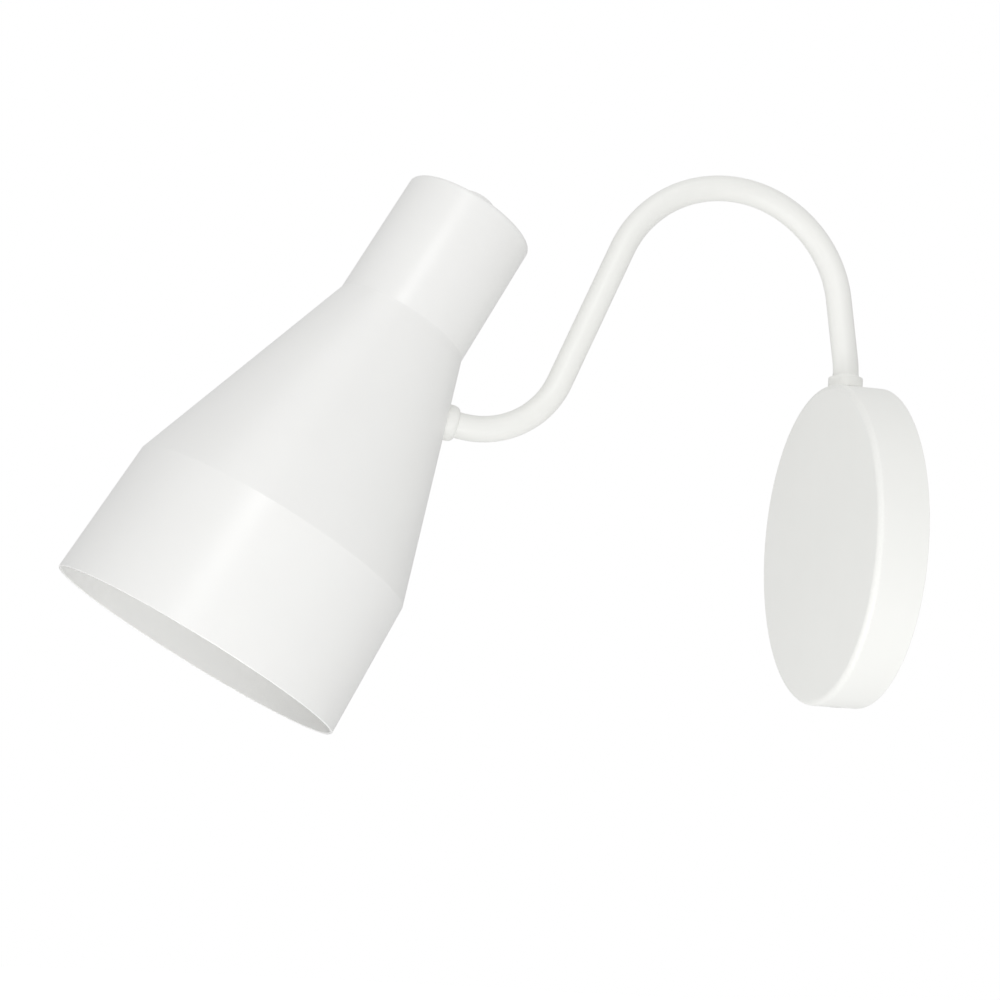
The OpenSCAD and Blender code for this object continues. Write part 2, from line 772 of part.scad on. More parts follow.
module contact_carrier() {
  color(ceramic) on_shade() translate([0, 0, carrier_z]) difference() {
    translate([0, 0, -shell_seat])
      cylinder(r = holder_r - holder_wall - join_gap, h = shell_seat + carrier_t);
    translate([0, 0, -2 * shell_seat])
      cylinder(r = shell_r + shell_t - shell_lap, h = 2 * shell_seat);
    carrier_hole(0, 0, contact_rod_r);
    carrier_hole(0, side_rod_y, side_rod_r);
    for (s = [-1, 1]) carrier_hole(s * carrier_screw_x, 0, carrier_screw_r);
  }
}

module screw_shell() {
  color(brass) on_shade() translate([0, 0, shell_z]) pipe(shell_r + shell_t, shell_r, shell_l);
}

module centre_contact() {
  rod_z = carrier_z - contact_drop + contact_disc_t - eps;
  color(brass) on_shade() {
    translate([0, 0, carrier_z - contact_drop]) cylinder(r = contact_disc_r, h = contact_disc_t);
    translate([0, 0, rod_z]) cylinder(r = contact_rod_r, h = carrier_z + carrier_t + rod_rise - rod_z);
  }
}

module side_contact() {
  color(brass) on_shade() {
    translate([-side_tab[0] / 2, side_tab_y, carrier_z - side_tab[2]]) cube(side_tab);
    translate([0, side_rod_y, carrier_z - eps]) cylinder(r = side_rod_r, h = carrier_t + rod_rise);
  }
}

// Screws that hold the carrier from below: heads under it, shafts up into the cap.
module carrier_screws() {
  color(steel) on_shade() for (s = [-1, 1]) translate([s * carrier_screw_x, 0, carrier_z]) {
    translate([0, 0, -eps]) cylinder(r = carrier_screw_r, h = carrier_t + carrier_screw_rise);
    mirror([0, 0, 1]) slotted_screw(carrier_head_d, carrier_head_t, 0.7, 0.7);
  }
}

module switch_block() {
  color(switch_black) on_shade() translate([0, 0, switch_z]) difference() {
    cylinder(r = switch_r, h = switch_h);
    translate([0, 0, switch_floor]) cylinder(d = button_stem_d + 2 * switch_play, h = switch_h);
  }
}

module switch_ring_nut() {
  color(enamel) on_shade() translate([0, 0, neck_l]) pipe(ring_nut_d / 2, bush_d / 2 + join_gap, ring_nut_t);
}

module button_spring() {
  turns = 3;
  steps = 14;
  wire_r = 0.25;
  coil_r = 3.75;
  z0 = switch_top + wire_r + 0.05;
  pitch = (clip_z - switch_top - 2 * wire_r - 0.1) / turns;
  sides = 6;
  n = turns * steps;
  points = [for (i = [0 : n]) let (a = 360 * i / steps) for (k = [0 : sides - 1])
    let (b = 360 * k / sides, rr = coil_r + wire_r * cos(b))
    [rr * cos(a), rr * sin(a), z0 + pitch * i / steps + wire_r * sin(b)]];
  walls = [for (i = [0 : n - 1]) for (k = [0 : sides - 1])
    ring_quad(i * sides, (i + 1) * sides, k, sides)];
  start = [for (k = [sides - 1 : -1 : 0]) k];
  end = [for (k = [0 : sides - 1]) n * sides + k];
  color(steel) on_shade() polyhedron(points, concat(walls, [start, end]));
}

module push_button() {
  r = button_d / 2;
  e = button_edge_r;
  stem_end = switch_top - stem_reach;
  color(shade_white) on_shade() difference() {
    rotate_extrude() polygon(concat(
      [[0, stem_end], [button_stem_d / 2, stem_end], [button_stem_d / 2, button_z],
       [r - skirt_edge, button_z], [r, button_z + skirt_edge]],
      arc(r - e, neck_l + button_top - e, e, e, 0, 90, 8),
      [[0, neck_l + button_top]]));
    translate([0, 0, clip_z]) pipe(button_stem_d, button_stem_d / 2 - groove, clip_t);
  }
}

module button_clip() {
  color(steel) on_shade() translate([0, 0, clip_z]) pipe(clip_d / 2, button_stem_d / 2 - groove, clip_t);
}

wall_plate();
hanger_bar();
mounting_bracket();
retaining_screw();
cable_grommet();
terminal_block();
terminal_sleeves();
terminal_screws();
block_screw();
earth_stud();
earth_washer();
earth_nut();
pivot_saddle();
pivot_friction_washer();
pivot_stop_pin();
plate_lead();
plate_cores();
arm_tube();
foot_collar();
swing_stem();
swing_stop_washer();
swing_spring_washer();
swing_nuts();
arm_lead();
tip_stem();
tip_ring();
tip_stop_washer();
tip_spring_washer();
tip_nut();
shade();
shade_collar();
shade_saddle();
shade_friction_washer();
shade_stop_pin();
shade_wires();
holder_cap();
holder_body();
contact_carrier();
screw_shell();
centre_contact();
side_contact();
carrier_screws();
switch_block();
switch_ring_nut();
button_spring();
push_button();
button_clip();
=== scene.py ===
import json
import math

import bmesh
import bpy
from mathutils import Matrix, Vector


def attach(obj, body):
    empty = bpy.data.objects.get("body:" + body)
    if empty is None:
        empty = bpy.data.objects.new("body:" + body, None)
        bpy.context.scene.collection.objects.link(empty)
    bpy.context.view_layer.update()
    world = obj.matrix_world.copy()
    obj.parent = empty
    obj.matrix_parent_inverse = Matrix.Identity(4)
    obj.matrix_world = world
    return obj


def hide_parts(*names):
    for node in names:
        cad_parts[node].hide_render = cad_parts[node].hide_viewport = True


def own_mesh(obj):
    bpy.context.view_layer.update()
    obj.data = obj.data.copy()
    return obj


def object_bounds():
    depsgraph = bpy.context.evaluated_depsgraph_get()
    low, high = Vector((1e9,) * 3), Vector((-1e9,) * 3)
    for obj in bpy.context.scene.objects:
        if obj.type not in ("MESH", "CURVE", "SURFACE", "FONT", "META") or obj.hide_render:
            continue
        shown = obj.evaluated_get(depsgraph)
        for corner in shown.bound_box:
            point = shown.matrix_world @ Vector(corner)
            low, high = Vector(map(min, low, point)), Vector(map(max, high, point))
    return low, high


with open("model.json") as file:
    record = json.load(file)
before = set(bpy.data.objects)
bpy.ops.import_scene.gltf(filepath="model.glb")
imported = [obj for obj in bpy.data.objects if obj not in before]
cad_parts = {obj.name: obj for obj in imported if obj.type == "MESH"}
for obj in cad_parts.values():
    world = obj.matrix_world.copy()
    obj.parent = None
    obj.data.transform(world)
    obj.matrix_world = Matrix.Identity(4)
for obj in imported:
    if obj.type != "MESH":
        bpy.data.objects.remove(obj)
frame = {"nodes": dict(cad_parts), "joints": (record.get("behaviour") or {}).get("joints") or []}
cad_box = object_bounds()

# ---- driving sizes, in millimetres, as in the part's source ----
MM = 0.001

PLATE_D = 125
PLATE_DEPTH = 19.5
PLATE_WALL = 1
PLATE_EDGE_R = 2.4
PLATE_RIM_R = 0.2
PLATE_CORE_SPLIT = -18.5              # height between the plate's two cores
RETAIN_HOLE_D = 4.3

TUBE_D = 10
TUBE_BORE_D = 8.06
STEM_D = 8
RUN_GAP = 0.05
FACE_GAP = 0.15
TUBE_END = 1.5

FOOT_COLLAR_D = 13.5
FOOT_COLLAR_H = 4.4
FOOT_COLLAR_FIT = 0.02

NECK_TOP_D = 52.4
NECK_D = 53
NECK_L = 51.1
CONE_D = 111.6
CONE_L = 92
MOUTH_D = 115.2
SKIRT_L = 52.5
SHADE_WALL = 1
NECK_EDGE_R = 1.3
NECK_BEND_R = 2
SKIRT_BEND_R = 1.6
MOUTH_EDGE_R = 0.4
JOINT_DROP = 22.1
BUSH_HOLE_D = 10.2
SHADE_COLLAR_D = 13.8
SHADE_COLLAR_H = 4.1
COLLAR_PLAY = 0.3
TIP_RING_D = 11.8

SHELL_BORE_D = 26.7
SHELL_T = 0.5
SHELL_L = 22
SHELL_Z = -2.9
THREAD_PITCH = 3.629
THREAD_DEPTH = 1.05
THREAD_FADE = 2.2                     # the wave dies out over this length at both ends

BUTTON_D = 14.8
BUTTON_STEM_D = 6
BUTTON_TOP = 58.9
BUTTON_FOOT = 56.4
BUTTON_STEM_END = 40.6
BUTTON_EDGE_R = 2.1
CLIP_GROOVE = (47.05, 47.95)
CLIP_GROOVE_R = 2.5

SWITCH_TOP = 42.1
SPRING_TURNS = 3
SPRING_COIL_R = 3.75
SPRING_WIRE_R = 0.25
SPRING_END_GAP = 0.05

# The arm's centreline: straights are a length, bends are a radius and a turn in degrees.
ROUTE = [(5.85,), (40, 8.3), (24,), (46.7, 149.6), (59,), (34, -78.1), (5.8 - TUBE_END,)]

# ---- how finely the meshes are made ----
ROUND_STEP = math.radians(9)
SUPPORT = 0.3                         # a ring this far beside each rounded corner keeps flats flat
EDGE_TURN = math.radians(40)          # paint wears where an outline turns more than this
SHARP_TURN = math.radians(50)         # faces that meet at more than this are shaded apart
TURN_SIDES = 256
SMALL_SIDES = 96
TUBE_SIDES = 64
TUBE_STEP = 1.6

# ---- places, from the joints ----
joints = {j["name"]: j for j in frame["joints"]}
pivot = Vector(joints["arm_swing"]["pos_m"])
tip = Vector(joints["shade_swivel"]["pos_m"])
tip_axis = Vector(joints["shade_swivel"]["axis"]).normalized()
shade_axis = -Vector(joints["switch_push"]["axis"]).normalized()
cone_angle = math.atan((CONE_D - NECK_D) / 2 / CONE_L)
joint_r = NECK_D / 2 + JOINT_DROP * math.tan(cone_angle)


def place(origin, axis):
    """A frame at origin with its z along axis and its x along the row's +X."""
    z = axis.normalized()
    x = Vector((1, 0, 0))
    y = z.cross(x)
    return Matrix.Translation(origin) @ Matrix((x, y, z)).transposed().to_4x4()


on_wall = place(Vector((0, 0, 0)), Vector((0, -1, 0)))
at_pivot = place(pivot, Vector((0, 0, 1)))
at_tip = place(tip, tip_axis)
shade_side = place(tip, shade_axis).to_3x3() @ Vector((0, 1, 0))
neck_foot = tip - joint_r * MM * shade_side + JOINT_DROP * MM * shade_axis
on_shade = place(neck_foot, shade_axis)


# ---- meshes ----
def rounded(corners, closed=True):
    """Points of an outline with its corners rounded, and how much each lies on an edge.
    A corner is (r, z, radius). An outline that isn't closed starts and ends on the axis."""
    made = []
    n = len(corners)
    for i, (r, z, radius) in enumerate(corners):
        here = Vector((r, z))
        if radius == 0 or (not closed and i in (0, n - 1)):
            made.append((here, 0.0))
            continue
        before = (Vector(corners[i - 1][:2]) - here).normalized()
        after = (Vector(corners[(i + 1) % n][:2]) - here).normalized()
        opening = before.angle(after)
        reach = radius / math.tan(opening / 2)
        centre = here + (before + after).normalized() * radius / math.sin(opening / 2)
        first = here + before * reach
        last = here + after * reach
        room = min((Vector(corners[i - 1][:2]) - first).length,
                   (Vector(corners[(i + 1) % n][:2]) - last).length)
        support = min(SUPPORT, room / 3)
        turn = math.pi - opening
        steps = max(2, math.ceil(turn / ROUND_STEP))
        made.append((first + before * support, 0.0))
        for k in range(steps + 1):
            share = k / steps
            a = (first - centre).angle_signed(last - centre) * -share
            spoke = Matrix.Rotation(a, 2) @ (first - centre)
            made.append((centre + spoke, 1.0 if turn > EDGE_TURN else 0.0))
        made.append((last + after * support, 0.0))
    return made


def quads(pairs, sides):
    """The faces between each pair of rings of vertex numbers."""
    return [(a[k], a[(k + 1) % sides], b[(k + 1) % sides], b[k]) for a, b in pairs for k in range(sides)]


def lathe(outline, sides, closed=True):
    """Vertices, faces and edge shares of an outline turned about the z axis."""
    verts, faces, shares, rings = [], [], [], []
    for point, share in outline:
        r, z = point
        ring = []
        for k in range(1 if r < 1e-6 else sides):
            a = 2 * math.pi * k / sides
            ring.append(len(verts))
            verts.append((r * math.cos(a), r * math.sin(a), z))
            shares.append(share)
        rings.append(ring)
    pairs = list(zip(rings, rings[1:]))
    if closed:
        pairs.append((rings[-1], rings[0]))
    for a, b in pairs:
        if len(a) == 1:
            faces += [(a[0], b[(k + 1) % sides], b[k]) for k in range(sides)]
        elif len(b) == 1:
            faces += [(a[k], a[(k + 1) % sides], b[0]) for k in range(sides)]
        else:
            faces += quads([(a, b)], sides)
    return verts, faces, shares


def walk(route, step, start):
    """Stations (out, up, heading) along straights and bends; heading 0 runs up, 90 out."""
    out, up, heading = start
    stations = [start]
    for leg in route:
        if len(leg) == 1:
            n = max(1, math.ceil(leg[0] / step))
            for k in range(n):
                out += leg[0] / n * math.sin(heading)
                up += leg[0] / n * math.cos(heading)
                stations.append((out, up, heading))
            continue
        radius, turn = leg[0], math.radians(leg[1])
        side = math.copysign(radius, turn)
        centre = (out + side * math.cos(heading), up - side * math.sin(heading))
        n = max(1, math.ceil(abs(turn) * radius / step))
        for k in range(n):
            heading += turn / n
            out = centre[0] - side * math.cos(heading)
            up = centre[1] + side * math.sin(heading)
            stations.append((out, up, heading))
    return stations


def piped(stations, profile, sides):
    """A closed skin along stations in the YZ plane. Profile is a list of (station, radius)."""
    verts, rings = [], []
    for i, r in profile:
        out, up, heading = stations[i]
        ring = []
        for k in range(sides):
            a = 2 * math.pi * k / sides
            across = r * math.cos(a)
            lift = r * math.sin(a)
            ring.append(len(verts))
            verts.append((across, -out + lift * math.cos(heading), up + lift * math.sin(heading)))
        rings.append(ring)
    return verts, quads(zip(rings, rings[1:] + rings[:1]), sides)


def build(name, verts, faces, at, shares=None):
    """A mesh object from millimetres in the frame 'at'. Shares say how worn each point's paint is."""
    mesh = bpy.data.meshes.new(name)
    mesh.from_pydata([at @ (Vector(v) * MM) for v in verts], [], faces)
    if shares:
        wear = mesh.attributes.new("edge_share", "FLOAT", "POINT")
        wear.data.foreach_set("value", shares)
    tidy = bmesh.new()
    tidy.from_mesh(mesh)
    bmesh.ops.recalc_face_normals(tidy, faces=tidy.faces)
    tidy.to_mesh(mesh)
    tidy.free()
    shade_smoothly(mesh)
    made = bpy.data.objects.new(name, mesh)
    bpy.context.scene.collection.objects.link(made)
    return made


def shade_smoothly(mesh):
    mesh.shade_smooth()
    mesh.set_sharp_from_angle(angle=SHARP_TURN)


def cut(target, *cutters):
    """Takes the cutters out of the target and removes them."""
    for cutter in cutters:
        hole = target.modifiers.new("hole", "BOOLEAN")
        hole.operation = "DIFFERENCE"
        hole.solver = "EXACT"
        hole.object = cutter
    bpy.context.view_layer.update()
    evaluated = target.evaluated_get(bpy.context.evaluated_depsgraph_get())
    mesh = bpy.data.meshes.new_from_object(evaluated)
    target.modifiers.clear()
    target.data = mesh
    shade_smoothly(mesh)
    for cutter in cutters:
        bpy.data.objects.remove(cutter)


def plain(points):
    """An outline of bare points, none of them on a rounded edge."""
    return [(Vector(p), 0.0) for p in points]


def rod(name, r, z0, z1, at):
    """A round cutter from z0 to z1."""
    verts, faces, _ = lathe(plain(((0, z0), (r, z0), (r, z1), (0, z1))), SMALL_SIDES, closed=False)
    return build(name, verts, faces, at)


def turned(name, corners, at, sides=TURN_SIDES, closed=True):
    """A turned mesh with rounded corners."""
    verts, faces, shares = lathe(rounded(corners, closed), sides, closed)
    return build(name, verts, faces, at, shares)


def stand_in(piece, body, slot, surface, *nodes):
    """The piece rides on its body, replaces its CAD nodes and takes its finish."""
    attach(piece, body)
    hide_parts(*nodes)
    piece.data.materials.clear()
    piece.data.materials.append(surface)


# ---- materials ----
class Surface:
    """A node material built up from small helpers. Sizes of noise and depths are in millimetres."""

    def __init__(self, name, colour, roughness, **inputs):
        self.material = bpy.data.materials.new(name)
        self.material.use_nodes = True
        self.tree = self.material.node_tree
        self.tree.nodes.clear()
        self.shader = self.node("ShaderNodeBsdfPrincipled")
        output = self.node("ShaderNodeOutputMaterial")
        self.join(self.shader.outputs["BSDF"], output.inputs["Surface"])
        self.shader.inputs["Base Color"].default_value = (*colour, 1)
        self.shader.inputs["Roughness"].default_value = roughness
        for key, value in inputs.items():
            self.shader.inputs[key.replace("_", " ")].default_value = value
        self.colour = self.tint(colour)
        self.roughness = roughness
        self.where = self.node("ShaderNodeTexCoord").outputs["Object"]

    def node(self, kind, **settings):
        made = self.tree.nodes.new(kind)
        for key, value in settings.items():
            setattr(made, key, value)
        return made

    def join(self, source, target):
        self.tree.links.new(source, target)

    def tint(self, colour):
        made = self.node("ShaderNodeRGB")
        made.outputs[0].default_value = (*colour, 1)
        return made.outputs[0]

    def noise(self, size, detail=2.0, stretch=None):
        """Smooth noise from 0 to 1 with features about that size across."""
        made = self.node("ShaderNodeTexNoise")
        made.inputs["Scale"].default_value = 1 / (size * MM)
        made.inputs["Detail"].default_value = detail
        where = self.where
        if stretch:
            mapping = self.node("ShaderNodeMapping")
            mapping.inputs["Scale"].default_value = stretch
            self.join(where, mapping.inputs["Vector"])
            where = mapping.outputs["Vector"]
        self.join(where, made.inputs["Vector"])
        return made.outputs["Fac"]

    def span(self, value, low, high, to_low, to_high):
        made = self.node("ShaderNodeMapRange")
        for key, number in (("From Min", low), ("From Max", high),
                            ("To Min", to_low), ("To Max", to_high)):
            made.inputs[key].default_value = number
        self.join(value, made.inputs["Value"])
        return made.outputs["Result"]

    def maths(self, operation, a, b):
        made = self.node("ShaderNodeMath", operation=operation)
        self.join(a, made.inputs[0])
        if isinstance(b, (int, float)):
            made.inputs[1].default_value = b
        else:
            self.join(b, made.inputs[1])
        return made.outputs[0]

    def mix(self, share, colour):
        """Lays another colour over what is there."""
        made = self.node("ShaderNodeMix", data_type="RGBA")
        self.join(share, made.inputs["Factor"])
        self.join(self.colour, made.inputs["A"])
        made.inputs["B"].default_value = (*colour, 1)
        self.colour = made.outputs["Result"]
        self.join(self.colour, self.shader.inputs["Base Color"])

    def patches(self, value, low, high, most, colour):
        """Lays another colour over, from nothing where value is low to its most where it is high."""
        self.mix(self.span(value, low, high, 0.0, most), colour)

    def gloss(self, value, swing):
        """Roughness that follows a 0 to 1 value, swing either way."""
        r = self.roughness
        wandering = self.span(value, 0.3, 0.7, r - swing, r + swing)
        self.join(wandering, self.shader.inputs["Roughness"])

    def bump(self, value, depth, strength=1.0):
        made = self.node("ShaderNodeBump")
        made.inputs["Distance"].default_value = depth * MM
        made.inputs["Strength"].default_value = strength
        self.join(value, made.inputs["Height"])
        before = self.shader.inputs["Normal"]
        if before.is_linked:
            self.join(before.links[0].from_socket, made.inputs["Normal"])
        self.join(made.outputs["Normal"], before)

    def edges(self):
        """Share of a point that lies on a rounded edge of a turned mesh."""
        return self.node("ShaderNodeAttribute", attribute_name="edge_share").outputs["Fac"]

    def corners(self, radius):
        """Share of a point that lies near a sharp edge of any mesh."""
        bevel = self.node("ShaderNodeBevel", samples=4)
        bevel.inputs["Radius"].default_value = radius * MM
        normal = self.node("ShaderNodeNewGeometry").outputs["Normal"]
        dot = self.node("ShaderNodeVectorMath", operation="DOT_PRODUCT")
        self.join(bevel.outputs["Normal"], dot.inputs[0])
        self.join(normal, dot.inputs[1])
        return self.span(dot.outputs["Value"], 1.0, 0.85, 0.0, 1.0)


def dimmed(colour, share):
    return tuple(c * share for c in colour)


def enamel(name, colour, roughness):
    """Satin powder coat: a fine orange peel, a slow drift of tone, thinner paint at edges."""
    s = Surface(name, colour, roughness)
    drift = s.noise(38, detail=3)
    peel = s.noise(1.4, detail=2)
    grain = s.noise(0.35, detail=1)
    s.patches(drift, 0.35, 0.75, 0.6, dimmed(colour, 0.972))
    s.patches(grain, 0.62, 0.8, 0.22, dimmed(colour, 0.93))
    broken = s.span(s.noise(0.9, detail=4), 0.42, 0.62, 0.0, 0.25)
    s.mix(s.maths("MULTIPLY", s.edges(), broken), dimmed(colour, 0.92))
    s.gloss(drift, 0.035)
    s.bump(peel, 0.012, 0.6)
    s.bump(grain, 0.004, 0.7)
    return s.material


def plated_steel(name):
    """Zinc on rolled steel: cloudy, a little yellow, with brighter edges."""
    s = Surface(name, (0.55, 0.56, 0.57), 0.34, Metallic=1.0)
    cloud = s.noise(9, detail=4)
    rolled = s.noise(1.2, detail=3, stretch=(1, 1, 14))
    s.patches(cloud, 0.35, 0.7, 0.55, (0.62, 0.60, 0.52))
    s.patches(s.noise(3.5, detail=5), 0.55, 0.8, 0.5, (0.38, 0.39, 0.42))
    s.mix(s.corners(0.35), (0.74, 0.74, 0.74))
    s.gloss(cloud, 0.09)
    s.bump(rolled, 0.012, 0.4)
    return s.material


def brass(name):
    """Bare brass, browned in places and rubbed bright at its edges."""
    s = Surface(name, (0.72, 0.53, 0.22), 0.28, Metallic=1.0)
    cloud = s.noise(6, detail=4)
    s.patches(cloud, 0.4, 0.75, 0.6, (0.50, 0.34, 0.13))
    s.mix(s.corners(0.3), (0.86, 0.70, 0.36))
    s.gloss(cloud, 0.08)
    s.bump(s.noise(0.5, detail=3), 0.008, 0.4)
    return s.material


def moulded(name, colour, roughness, speck, depth=0.01):
    """Moulded plastic, rubber or fired ceramic: flow marks, specks and a fine skin."""
    s = Surface(name, colour, roughness)
    flow = s.noise(11, detail=3)
    s.patches(flow, 0.35, 0.7, 0.7, dimmed(colour, 0.9))
    s.patches(s.noise(0.5, detail=2), 0.66, 0.78, 0.6, speck)
    paler = tuple(min(1, c * 1.12 + 0.02) for c in colour)
    s.mix(s.maths("MULTIPLY", s.corners(0.3), 0.5), paler)
    s.gloss(flow, 0.06)
    s.bump(s.noise(0.6, detail=3), depth, 0.5)
    return s.material


def fibre_board(name):
    """Red vulcanised fibre with strands along one way."""
    s = Surface(name, (0.36, 0.10, 0.06), 0.72)
    strands = s.noise(0.8, detail=5, stretch=(1, 6, 1))
    s.patches(strands, 0.35, 0.7, 0.8, (0.47, 0.18, 0.11))
    s.mix(s.corners(0.25), (0.54, 0.27, 0.19))
    s.gloss(strands, 0.08)
    s.bump(strands, 0.04, 0.6)
    return s.material


def core_pair(name, split_axis, split_at):
    """Two cores in one node: blue on one side of the split, brown on the other."""
    s = Surface(name, (0.17, 0.07, 0.03), 0.42)
    axes = s.node("ShaderNodeSeparateXYZ")
    s.join(s.where, axes.inputs[0])
    side = s.maths("GREATER_THAN", axes.outputs[split_axis], split_at)
    s.mix(side, (0.03, 0.12, 0.38))
    scuff = s.noise(1.6, detail=4)
    s.patches(scuff, 0.55, 0.8, 0.25, (0.35, 0.33, 0.32))
    s.gloss(scuff, 0.07)
    s.bump(s.noise(0.5, detail=2), 0.01, 0.5)
    return s.material


# The plate's white is the arm's enamel made about 2% lighter: painted light on the plate's face and rim.
plate_white_painted_light = enamel("plate_enamel", (0.925, 0.928, 0.900), 0.42)
arm_white = enamel("arm_enamel", (0.905, 0.907, 0.877), 0.38)
shade_white = enamel("shade_enamel", (0.905, 0.905, 0.890), 0.33)
zinc_steel = plated_steel("zinc_steel")
bare_brass = brass("brass")
surfaces = {
    "plate_enamel": plate_white_painted_light,
    "arm_enamel": arm_white,
    "shade_enamel": shade_white,
    "zinc_steel": zinc_steel,
    "brass": bare_brass,
    "grommet_rubber": moulded("grommet_rubber", (0.035, 0.035, 0.037), 0.6, (0.08, 0.08, 0.08), 0.03),
    "fibre": fibre_board("fibre"),
    "moulded": moulded("moulded", (0.78, 0.73, 0.62), 0.38, (0.66, 0.60, 0.50)),
    "switch_plastic": moulded("switch_plastic", (0.03, 0.03, 0.032), 0.45, (0.07, 0.07, 0.07)),
    "ceramic": moulded("ceramic", (0.86, 0.84, 0.79), 0.2, (0.55, 0.50, 0.44), 0.02),
    "lead_sheath": moulded("lead_sheath", (0.80, 0.80, 0.78), 0.46, (0.74, 0.73, 0.71), 0.015),
    "core_insulation": core_pair("core_insulation", "X", 0.0),
}
plate_core_surface = core_pair("plate_core_insulation", "Z", PLATE_CORE_SPLIT * MM)

for name, node in frame["nodes"].items():
    for held in node.material_slots:
        if name == "plate_cores":
            held.material = plate_core_surface
        else:
            held.material = surfaces[held.material.name]


# ---- pieces that stand for the CAD's enamelled parts, button spring and screw shell ----
def wall_plate_piece():
    """A cup that is open towards the wall, with a hole above for the stem and one below for the screw."""
    r = PLATE_D / 2
    inner = r - PLATE_WALL
    back = PLATE_DEPTH - PLATE_WALL
    piece = turned("wall_plate_shell", [
        (0, PLATE_DEPTH, 0), (r, PLATE_DEPTH, PLATE_EDGE_R), (r, 0, PLATE_RIM_R),
        (inner, 0, PLATE_RIM_R), (inner, back, PLATE_EDGE_R - PLATE_WALL), (0, back, 0)],
        on_wall, closed=False)
    above, below = 4, 8
    stem_hole = rod("stem_hole", STEM_D / 2 + RUN_GAP, -below, above, at_pivot)
    outside, inside = 2, 6
    screw_hole = rod("screw_hole", RETAIN_HOLE_D / 2, -PLATE_D - outside, -PLATE_D + inside, at_pivot)
    cut(piece, stem_hole, screw_hole)
    stand_in(piece, "wall_mount", "plate_enamel", plate_white_painted_light, "wall_plate")


def arm_tube_piece():
    """The bent tube, with its bore. The edge shares are all nothing, as it has no worn edge."""
    start = (-pivot.y / MM, pivot.z / MM + FACE_GAP, 0.0)
    stations = walk(ROUTE, TUBE_STEP, start)
    last = len(stations) - 1
    outer = [(i, TUBE_D / 2) for i in range(last + 1)]
    inner = [(i, TUBE_BORE_D / 2) for i in range(last, -1, -1)]
    verts, faces = piped(stations, outer + inner, TUBE_SIDES)
    piece = build("arm_tube_bent", verts, faces, Matrix.Identity(4), [0.0] * len(verts))
    stand_in(piece, "arm", "arm_enamel", arm_white, "arm_tube")


def foot_collar_piece():
    """A ring round the tube's foot that sweeps up to a thin lip."""
    r = FOOT_COLLAR_D / 2
    bore = TUBE_D / 2 + FOOT_COLLAR_FIT
    lip = bore + 0.1
    shoulder = 0.6
    sweep_r = r - lip - shoulder
    lip_top = FOOT_COLLAR_H + sweep_r + 0.3
    piece = turned("foot_collar_ring", [
        (bore, FACE_GAP, 0.1), (r, FACE_GAP, 0.3), (r, FOOT_COLLAR_H, 0.55),
        (lip, FOOT_COLLAR_H, sweep_r), (lip, lip_top, 0.03), (bore, lip_top, 0.03)],
        at_pivot, SMALL_SIDES)
    stand_in(piece, "arm", "plate_enamel", arm_white, "foot_collar")


def shade_piece():
    """One spun sheet: skirt, cone and neck outside, the hole in the top, and back down inside."""
    w = SHADE_WALL
    mouth = -CONE_L - SKIRT_L
    hole = BUSH_HOLE_D / 2
    piece = turned("shade_spun", [
        (MOUTH_D / 2, mouth, MOUTH_EDGE_R), (CONE_D / 2, -CONE_L, SKIRT_BEND_R),
        (NECK_D / 2, 0, NECK_BEND_R), (NECK_TOP_D / 2, NECK_L, NECK_EDGE_R),
        (hole, NECK_L, 0.25), (hole, NECK_L - w, 0.15),
        (NECK_TOP_D / 2 - w, NECK_L - w, NECK_EDGE_R - w), (NECK_D / 2 - w, 0, NECK_BEND_R),
        (CONE_D / 2 - w, -CONE_L, SKIRT_BEND_R), (MOUTH_D / 2 - w, mouth, MOUTH_EDGE_R)], on_shade)
    reach = 5
    cut(piece, rod("stem_hole", STEM_D / 2 + RUN_GAP, -reach, reach, at_tip))
    stand_in(piece, "shade_body", "shade_enamel", shade_white, "shade")


def shade_collar_piece():
    """A domed cover over the tip ring, cut by the shade's cone where it sits on it."""
    r = SHADE_COLLAR_D / 2
    bore = TUBE_D / 2 + RUN_GAP
    lip = bore + 0.15
    pocket = TIP_RING_D / 2 + COLLAR_PLAY
    step = -TUBE_END - COLLAR_PLAY
    dome_foot = -1.4
    foot = 2
    n = 16
    dome = []
    for k in range(n + 1):
        a = math.pi / 2 * k / n
        rise = (SHADE_COLLAR_H + dome_foot) * math.cos(a)
        dome.append((lip + (r - lip) * math.sin(a), dome_foot - rise))
    inside = [(r, foot), (pocket, foot), (pocket, step), (bore, step), (bore, -SHADE_COLLAR_H)]
    verts, faces, shares = lathe(plain(dome + inside), SMALL_SIDES)
    piece = build("shade_collar_dome", verts, faces, at_tip, shares)
    cone = plain(((0, -CONE_L), (CONE_D / 2, -CONE_L), (NECK_D / 2, 0), (0, 0)))
    verts, faces, _ = lathe(cone, TURN_SIDES, closed=False)
    cut(piece, build("cone_cutter", verts, faces, on_shade))
    stand_in(piece, "shade_body", "plate_enamel", arm_white, "shade_collar")


def push_button_piece():
    """The knob on the neck with its stem, which has a groove for the clip."""
    r = BUTTON_D / 2
    stem = BUTTON_STEM_D / 2
    low, high = CLIP_GROOVE
    crisp, soft = 0.05, 0.3
    piece = turned("push_button_cap", [
        (0, BUTTON_STEM_END, 0), (stem, BUTTON_STEM_END, 0.4), (stem, low, crisp),
        (CLIP_GROOVE_R, low, crisp), (CLIP_GROOVE_R, high, crisp), (stem, high, crisp),
        (stem, BUTTON_FOOT, soft), (r, BUTTON_FOOT, soft), (r, BUTTON_TOP, BUTTON_EDGE_R),
        (0, BUTTON_TOP, 0)], on_shade, SMALL_SIDES, closed=False)
    stand_in(piece, "button", "shade_enamel", shade_white, "push_button")


